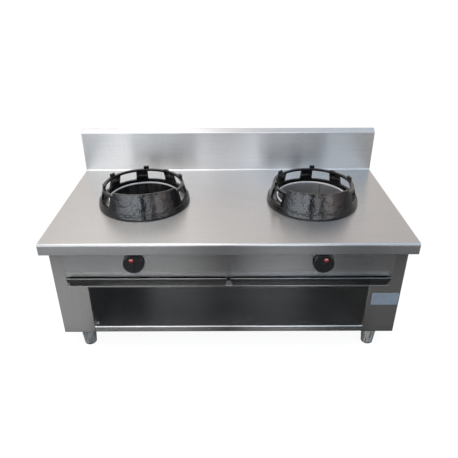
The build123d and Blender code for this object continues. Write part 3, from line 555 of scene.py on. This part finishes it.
def makeBrushedSteel(name, grain, paintedLightAndShade=1.0, rougher=0.0, calm=1.0, paintedShadeByDepth=None):
    spec = brushedSteel
    material, w, shader = startMaterial(name)
    lines = useGroup(w, "sheetGrain", Stretch=spec["stretch"][grain])
    haze = useGroup(w, "handling", **spec["handling"], Draw=spec["wipe"][grain])["Haze"]
    edge = useGroup(w, "edgeRub", **spec["edgeRub"])
    # the sheet's tone times both colours is painted light and shade
    plain, streak = shaded(spec["colour"], paintedLightAndShade), shaded(spec["streakColour"], paintedLightAndShade)
    colour = w.mixColour(w.spread(lines["Lines"], *spec["streakMask"]), plain, streak)
    hazeCover = w.maths("MULTIPLY", haze, spec["hazeCover"])
    colour = w.mixColour(hazeCover, colour, shaded(streak, spec["hazeShade"]))
    # painted shade: the colour is darkened along y on the stretches that stand in shade
    if paintedShadeByDepth:
        y = w.split(w.position())[1]
        low, high = paintedShadeByDepth[0][0], paintedShadeByDepth[-1][0]
        stops = [((at - low) / (high - low), tone) for at, tone in paintedShadeByDepth]
        colour = w.timesColour(colour, w.ramp(w.spread(y, low, high), stops))
    w.feed(shader["Base Color"], w.mixColour(edge["Edge"], colour, spec["rubbed"]))
    shader["Metallic"].default_value = 1.0
    middle, eitherWay = spec["roughness"] + rougher, spec["roughnessEitherWay"]
    rough = w.spread(lines["Fine"], *spec["roughnessMask"], middle - eitherWay, middle + eitherWay)
    hazed = w.maths("MULTIPLY", haze, spec["hazeRoughness"] * calm)
    w.feed(shader["Roughness"], w.maths("ADD", rough, hazed))
    shader["Anisotropic"].default_value = spec["pull"]
    tangent = w.add("ShaderNodeTangent", {"direction_type": "RADIAL", "axis": grain})
    w.feed(shader["Tangent"], tangent.outputs[0])
    height = w.maths("ADD", w.maths("MULTIPLY", lines["Fine"], spec["fineHeight"]),
                     w.maths("MULTIPLY", lines["Cloud"], spec["cloudHeight"] * calm))
    strength, distance = spec["bump"]
    w.feed(shader["Normal"], w.bump(height, strength * calm, distance, edge["Normal"]))
    return material


# black enamelled castings, glossy with orange peel, rubbed at the edges, with pale dust on upward faces that is
# partly a painted highlight on the rim tops
enamelledIron = {
    "colour": (0.006, 0.006, 0.007),
    "wornColour": (0.03, 0.028, 0.027),
    "dustColour": (0.09, 0.088, 0.08),
    "roughness": (0.5, 1.3, 0.02, 0.07),
    "dustRoughness": 0.25,
    "ior": 1.5,
    "bump": (0.5, 0.0024),
    "castSkin": {"Peel": 110.0, "Swell": 42.0},
    "edgeRub": {"Radius": 0.0022, "Wear": 0.8},
    "dustFall": {"Amount": 0.4},
}


def makeEnamelledIron(name, spec):
    material, w, shader = startMaterial(name)
    skin = useGroup(w, "castSkin", **spec["castSkin"])
    edge = useGroup(w, "edgeRub", **spec["edgeRub"])
    # the dust is partly real and partly a painted highlight that lightens the rims' upward faces
    dust = useGroup(w, "dustFall", **spec["dustFall"])["Dust"]
    colour = w.mixColour(edge["Edge"], spec["colour"], spec["wornColour"])
    w.feed(shader["Base Color"], w.mixColour(dust, colour, spec["dustColour"]))
    rough = w.spread(skin["Height"], *spec["roughness"])
    w.feed(shader["Roughness"], w.maths("ADD", rough, w.maths("MULTIPLY", dust, spec["dustRoughness"])))
    shader["IOR"].default_value = spec["ior"]
    w.feed(shader["Normal"], w.bump(skin["Height"], *spec["bump"], edge["Normal"]))
    return material


# bare grey iron of the burners, with rust bloom and soot
bareIron = {
    "colour": (0.105, 0.1, 0.098),
    "rust": (0.16, 0.075, 0.04),
    "rustCover": 0.6,
    "rustPatches": (17.0, 6.0, 0.65),
    "rustMask": (0.5, 0.74),
    "soot": (0.022, 0.021, 0.02),
    "sootCover": 0.7,
    "sootPatches": (8.0, 4.0, 0.6),
    "sootMask": (0.42, 0.66),
    "rubbed": (0.24, 0.235, 0.23),
    "metallic": 0.35,
    "roughness": (0.5, 1.3, 0.5, 0.72),
    "bump": (0.6, 0.0008),
    "castSkin": {"Peel": 420.0, "Swell": 30.0},
    "edgeRub": {"Radius": 0.0012, "Wear": 0.9},
}


def makeBareIron(name, spec):
    material, w, shader = startMaterial(name)
    skin = useGroup(w, "castSkin", **spec["castSkin"])
    edge = useGroup(w, "edgeRub", **spec["edgeRub"])
    where = w.position()
    bloom = w.spread(w.noise(where, *spec["rustPatches"]), *spec["rustMask"])
    soot = w.spread(w.noise(where, *spec["sootPatches"]), *spec["sootMask"])
    colour = w.mixColour(w.maths("MULTIPLY", bloom, spec["rustCover"]), spec["colour"], spec["rust"])
    colour = w.mixColour(w.maths("MULTIPLY", soot, spec["sootCover"]), colour, spec["soot"])
    w.feed(shader["Base Color"], w.mixColour(edge["Edge"], colour, spec["rubbed"]))
    shader["Metallic"].default_value = spec["metallic"]
    w.feed(shader["Roughness"], w.spread(skin["Height"], *spec["roughness"]))
    w.feed(shader["Normal"], w.bump(skin["Height"], *spec["bump"], edge["Normal"]))
    return material


# satin die-cast alloy of the feet, paler and less metallic as painted reflection, with drawn lines down the
# taper, partly painted reflection, and a dirty tread at the floor
footAlloy = {
    "bright": (0.8, 0.8, 0.78),
    "dark": (0.24, 0.24, 0.238),
    "lineMask": (0.38, 0.6),
    "grime": (0.3, 0.3, 0.3),
    "grimeCover": 0.35,
    "tread": (0.015, 0.015, 0.015),
    "treadHeight": (0.009, 0.0054),
    "metallic": 0.4,
    "roughness": (0.3, 0.7, 0.32, 0.5),
    "bump": (0.4, 0.0015),
    "sheetGrain": {"Stretch": (75.0, 75.0, 4.0)},
    "handling": {"Size": 26.0, "Amount": 1.0},
    "edgeRub": {"Radius": 0.0012, "Wear": 0.8},
}


def makeFootAlloy(name, spec):
    material, w, shader = startMaterial(name)
    lines = useGroup(w, "sheetGrain", **spec["sheetGrain"])
    haze = useGroup(w, "handling", **spec["handling"])["Haze"]
    edge = useGroup(w, "edgeRub", **spec["edgeRub"])
    height = w.split(w.position())[2]
    # painted reflection: the pale colour and strong light and dark lines stand partly for light the alloy would
    # mirror
    colour = w.mixColour(w.spread(lines["Lines"], *spec["lineMask"]), spec["bright"], spec["dark"])
    colour = w.mixColour(w.maths("MULTIPLY", haze, spec["grimeCover"]), colour, spec["grime"])
    tread = w.spread(height, *spec["treadHeight"])
    w.feed(shader["Base Color"], w.mixColour(tread, colour, spec["tread"]))
    shader["Metallic"].default_value = spec["metallic"]
    w.feed(shader["Roughness"], w.spread(lines["Fine"], *spec["roughness"]))
    w.feed(shader["Normal"], w.bump(lines["Lines"], *spec["bump"], edge["Normal"]))
    return material


# the tube that stands in each ring: bright steel tempered towards the flame, sooted more on the left tube than
# on the right one, with a polished rolled bead at the top painted paler and less metallic as a painted
# highlight, and a welded seam at the back of the right tube
linerSteel = {
    "metal": (0.66, 0.675, 0.71),
    "stainBelow": 0.06,
    "soot": (0.1, 0.1, 0.105),
    "leftToRight": (-0.1, 0.1),
    "sootLeftRight": (0.85, 0.05),
    "sootInHaze": 0.35,
    "runStretch": (60.0, 60.0, 4.0),
    "runs": (1.0, 3.0, 0.6),
    "runMask": (0.2, 0.7, 0.7, 1.1),
    "seam": 0.445,
    "seamWidth": (0.0008, 0.0016, 1.0, 0.0),
    "seamColour": (0.03, 0.03, 0.032),
    "seamCover": 0.85,
    "paintedHighlightBead": (0.95, 0.945, 0.935),
    "beadHeight": 0.0066,
    "beadFade": 0.8,
    "metallicBelowOnBead": (1.0, 0.35),
    "rubbed": (0.7, 0.69, 0.68),
    "roughness": 0.2,
    "roughnessMask": (0.3, 0.7),
    "smoother": 0.05,
    "rougher": 0.06,
    "roughLeftRight": (0.1, 0.28),
    "bump": (0.3, 0.0006),
    "sheetGrain": {"Stretch": (40.0, 40.0, 160.0)},
    "handling": {"Size": 14.0, "Amount": 0.8},
    "edgeRub": {"Radius": 0.0008, "Wear": 0.5},
}


def makeLinerSteel(name, spec):
    material, w, shader = startMaterial(name)
    low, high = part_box("well_liner_left")
    bottom, top = low[2], high[2]
    metal = (*spec["metal"], 1)
    colour = useGroup(w, "heatStain", Low=bottom - spec["stainBelow"], High=top, Metal=metal)["Colour"]
    lines = useGroup(w, "sheetGrain", **spec["sheetGrain"])
    haze = useGroup(w, "handling", **spec["handling"])["Haze"]
    edge = useGroup(w, "edgeRub", **spec["edgeRub"])
    where = w.position()
    x, y, height = w.split(where)
    sooted = w.maths("ADD", w.spread(x, *spec["leftToRight"], *spec["sootLeftRight"]),
                     w.maths("MULTIPLY", haze, spec["sootInHaze"]))
    drawn = w.vectorMaths("MULTIPLY", where, spec["runStretch"])
    runs = w.spread(w.noise(drawn, *spec["runs"]), *spec["runMask"])
    colour = w.mixColour(w.maths("MULTIPLY", sooted, runs), colour, spec["soot"])
    fromSeam = w.maths("ABSOLUTE", w.maths("SUBTRACT", x, spec["seam"]))
    seam = w.maths("MULTIPLY", w.spread(fromSeam, *spec["seamWidth"]), w.maths("GREATER_THAN", y, 0.0))
    colour = w.mixColour(w.maths("MULTIPLY", seam, spec["seamCover"]), colour, spec["seamColour"])
    # painted highlight: the bead's top is made pale and less metallic so that it shows as a bright line
    paintedHighlightBead = w.spread(height, top - spec["beadHeight"], top - spec["beadHeight"] * spec["beadFade"])
    colour = w.mixColour(paintedHighlightBead, colour, spec["paintedHighlightBead"])
    w.feed(shader["Base Color"], w.mixColour(edge["Edge"], colour, spec["rubbed"]))
    w.feed(shader["Metallic"], w.spread(paintedHighlightBead, 0.0, 1.0, *spec["metallicBelowOnBead"]))
    smooth, rough = spec["roughness"] - spec["smoother"], spec["roughness"] + spec["rougher"]
    brushed = w.spread(lines["Fine"], *spec["roughnessMask"], smooth, rough)
    burnt = w.spread(x, *spec["leftToRight"], *spec["roughLeftRight"])
    w.feed(shader["Roughness"], w.maths("ADD", brushed, burnt))
    w.feed(shader["Normal"], w.bump(lines["Lines"], *spec["bump"], edge["Normal"]))
    return material


# satin black moulding of the knobs
knobPlastic = {
    "colour": (0.009, 0.009, 0.01),
    "rubbed": (0.05, 0.05, 0.052),
    "dustColour": (0.075, 0.073, 0.07),
    "roughness": (0.0, 0.8, 0.44, 0.3),
    "bump": (0.15, 0.0003),
    "castSkin": {"Peel": 1500.0, "Swell": 60.0},
    "handling": {"Size": 30.0, "Amount": 0.8},
    "edgeRub": {"Radius": 0.0011, "Wear": 0.7},
    "dustFall": {"Amount": 0.5},
}


def makeKnobPlastic(name, spec):
    material, w, shader = startMaterial(name)
    skin = useGroup(w, "castSkin", **spec["castSkin"])
    haze = useGroup(w, "handling", **spec["handling"])["Haze"]
    edge = useGroup(w, "edgeRub", **spec["edgeRub"])
    dust = useGroup(w, "dustFall", **spec["dustFall"])["Dust"]
    colour = w.mixColour(edge["Edge"], spec["colour"], spec["rubbed"])
    w.feed(shader["Base Color"], w.mixColour(dust, colour, spec["dustColour"]))
    w.feed(shader["Roughness"], w.spread(haze, *spec["roughness"]))
    w.feed(shader["Normal"], w.bump(skin["Height"], *spec["bump"], edge["Normal"]))
    return material


# glossy red inset of the knobs, with a moulded ripple and a painted highlight of pale red towards its top,
# measured down from the knob's top
markerPlastic = {
    "red": (0.42, 0.012, 0.014),
    "deepRed": (0.3, 0.006, 0.008),
    "paintedHighlightRed": (0.95, 0.3, 0.32),
    "highlightFrom": 0.026,
    "highlightTo": 0.019,
    "ripple": (260.0, 2.0, 0.5),
    "rippleMask": (0.3, 0.7),
    "roughness": (0.12, 0.22),
    "coat": 0.5,
    "bump": (0.2, 0.0002),
    "edgeRub": {"Radius": 0.0008, "Wear": 0.0},
}


def makeMarkerPlastic(name, spec):
    material, w, shader = startMaterial(name)
    where = w.position()
    ripple = w.spread(w.noise(where, *spec["ripple"]), *spec["rippleMask"])
    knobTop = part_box("knob_left")[1][2]
    # painted highlight: the inset turns pale towards its top
    highlightFrom, highlightTo = knobTop - spec["highlightFrom"], knobTop - spec["highlightTo"]
    paintedHighlightMask = w.spread(w.split(where)[2], highlightFrom, highlightTo, smooth=True)
    colour = w.mixColour(ripple, spec["red"], spec["deepRed"])
    w.feed(shader["Base Color"], w.mixColour(paintedHighlightMask, colour, spec["paintedHighlightRed"]))
    w.feed(shader["Roughness"], w.spread(ripple, 0.0, 1.0, *spec["roughness"]))
    shader["Coat Weight"].default_value = spec["coat"]
    rounded = useGroup(w, "edgeRub", **spec["edgeRub"])["Normal"]
    w.feed(shader["Normal"], w.bump(ripple, *spec["bump"], rounded))
    return material


# turned, drawn or plated small metal: brass, zinc plated pipe and copper
smallMetals = {
    "brass": {"bright": (0.66, 0.47, 0.2), "dull": (0.36, 0.23, 0.09), "roughness": 0.3},
    "pipe_steel": {"bright": (0.5, 0.5, 0.485), "dull": (0.33, 0.33, 0.325), "roughness": 0.42},
    "copper": {"bright": (0.72, 0.36, 0.22), "dull": (0.34, 0.15, 0.09), "roughness": 0.3},
}

# what the small metals share
plainMetal = {
    "rubbedShare": 1.2,
    "smoother": 0.08,
    "rougher": 0.15,
    "bump": (0.2, 0.0003),
    "handling": {"Size": 22.0, "Amount": 1.0},
    "castSkin": {"Peel": 900.0, "Swell": 80.0},
    "edgeRub": {"Radius": 0.0008, "Wear": 0.8},
}


def makeSmallMetal(name, bright, dull, roughness):
    spec = plainMetal
    material, w, shader = startMaterial(name)
    haze = useGroup(w, "handling", **spec["handling"])["Haze"]
    skin = useGroup(w, "castSkin", **spec["castSkin"])
    edge = useGroup(w, "edgeRub", **spec["edgeRub"])
    rubbed = tuple(min(1.0, channel) for channel in shaded(bright, spec["rubbedShare"]))
    colour = w.mixColour(haze, bright, dull)
    w.feed(shader["Base Color"], w.mixColour(edge["Edge"], colour, rubbed))
    shader["Metallic"].default_value = 1.0
    smooth, rough = roughness - spec["smoother"], roughness + spec["rougher"]
    w.feed(shader["Roughness"], w.spread(haze, 0.0, 1.0, smooth, rough))
    w.feed(shader["Normal"], w.bump(skin["Height"], *spec["bump"], edge["Normal"]))
    return material


# the plate on the right leg box: a plain silver film with a thin frame and ruled fields, in metres
ratingPlate = {
    "film": (0.3, 0.365, 0.43),
    "filmShade": 0.86,
    "filmClouds": (26.0, 4.0, 0.6),
    "filmMask": (0.3, 0.7),
    "ink": (0.47, 0.52, 0.6),
    "inkWear": (140.0, 4.0, 0.6),
    "inkWearMask": (0.3, 0.62),
    "frameInset": 0.004,
    "frameLine": 0.0012,
    "fieldPitch": 0.0125,
    "fieldLine": 0.0009,
    "metallic": 0.25,
    "roughness": (0.5, 0.36),
    "bump": (0.2, 0.0001),
    "edgeRub": {"Radius": 0.0006, "Wear": 0.0},
}


def makeRatingPlate(name, spec):
    material, w, shader = startMaterial(name)
    low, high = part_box("label_plate")
    middle = (low + high) / 2
    where = w.position()
    x, y, z = w.split(where)

    def fromBorder(position, axis):
        fromMiddle = w.maths("ABSOLUTE", w.maths("SUBTRACT", position, middle[axis]))
        return w.maths("SUBTRACT", (high[axis] - low[axis]) / 2, fromMiddle)

    inset = w.maths("MINIMUM", fromBorder(x, 0), fromBorder(z, 2))
    fromFrame = w.maths("ABSOLUTE", w.maths("SUBTRACT", inset, spec["frameInset"]))
    onFrame = w.maths("LESS_THAN", fromFrame, spec["frameLine"] / 2)
    row = w.maths("MODULO", w.maths("SUBTRACT", z, low[2]), spec["fieldPitch"])
    inside = w.maths("GREATER_THAN", inset, spec["frameInset"])
    ruled = w.maths("MULTIPLY", w.maths("LESS_THAN", row, spec["fieldLine"]), inside)
    ink = w.maths("MAXIMUM", onFrame, ruled)
    wear = w.spread(w.noise(where, *spec["inkWear"]), *spec["inkWearMask"])
    clouds = w.spread(w.noise(where, *spec["filmClouds"]), *spec["filmMask"])
    colour = w.mixColour(clouds, spec["film"], shaded(spec["film"], spec["filmShade"]))
    w.feed(shader["Base Color"], w.mixColour(w.maths("MULTIPLY", ink, wear), colour, spec["ink"]))
    shader["Metallic"].default_value = spec["metallic"]
    w.feed(shader["Roughness"], w.spread(wear, 0.0, 1.0, *spec["roughness"]))
    rounded = useGroup(w, "edgeRub", **spec["edgeRub"])["Normal"]
    w.feed(shader["Normal"], w.bump(ink, *spec["bump"], rounded))
    return material


# one finish for each of the record's material slots, apart from stainless, whose sheets differ
slotFinishes = {
    "liner_steel": makeLinerSteel("linerSteel", linerSteel),
    "enamelled_iron": makeEnamelledIron("enamelledIron", enamelledIron),
    "bare_iron": makeBareIron("bareIron", bareIron),
    "knob_plastic": makeKnobPlastic("knobPlastic", knobPlastic),
    "marker_plastic": makeMarkerPlastic("markerPlastic", markerPlastic),
    "plate": makeRatingPlate("ratingPlate", ratingPlate),
}
for slotName, metal in smallMetals.items():
    slotFinishes[slotName] = makeSmallMetal(slotName, **metal)
sheetFinishes = {name: makeBrushedSteel(name, **sheet) for name, sheet in steelSheets.items()}
sheetFinishes["footAlloy"] = makeFootAlloy("footAlloy", footAlloy)
print("materials made")

# the finish of each stainless node, by how its name begins; the others are steelAcross
stainlessNodes = {
    "worktop": "steelTop", "drip_tray": "steelLip", "tray_deck": "steelDeck", "back_panel": "steelBackPaintedLight",
    "side_panel": "steelUpright", "cavity_wall": "steelInsidePaintedShade", "foot": "footAlloy",
}


def finishFor(nodeName, slotName):
    if slotName != "stainless":
        return slotFinishes[slotName]
    for beginning, finishName in stainlessNodes.items():
        if nodeName.startswith(beginning):
            return sheetFinishes[finishName]
    return sheetFinishes["steelAcross"]


slotOf = {row["node"]: row["material_slot"] for row in frame["record"]["subparts"]}
for nodeName, obj in cadNodes.items():
    for materialSlot in obj.material_slots:
        materialSlot.material = finishFor(nodeName, slotOf[nodeName])
print("finishes given")
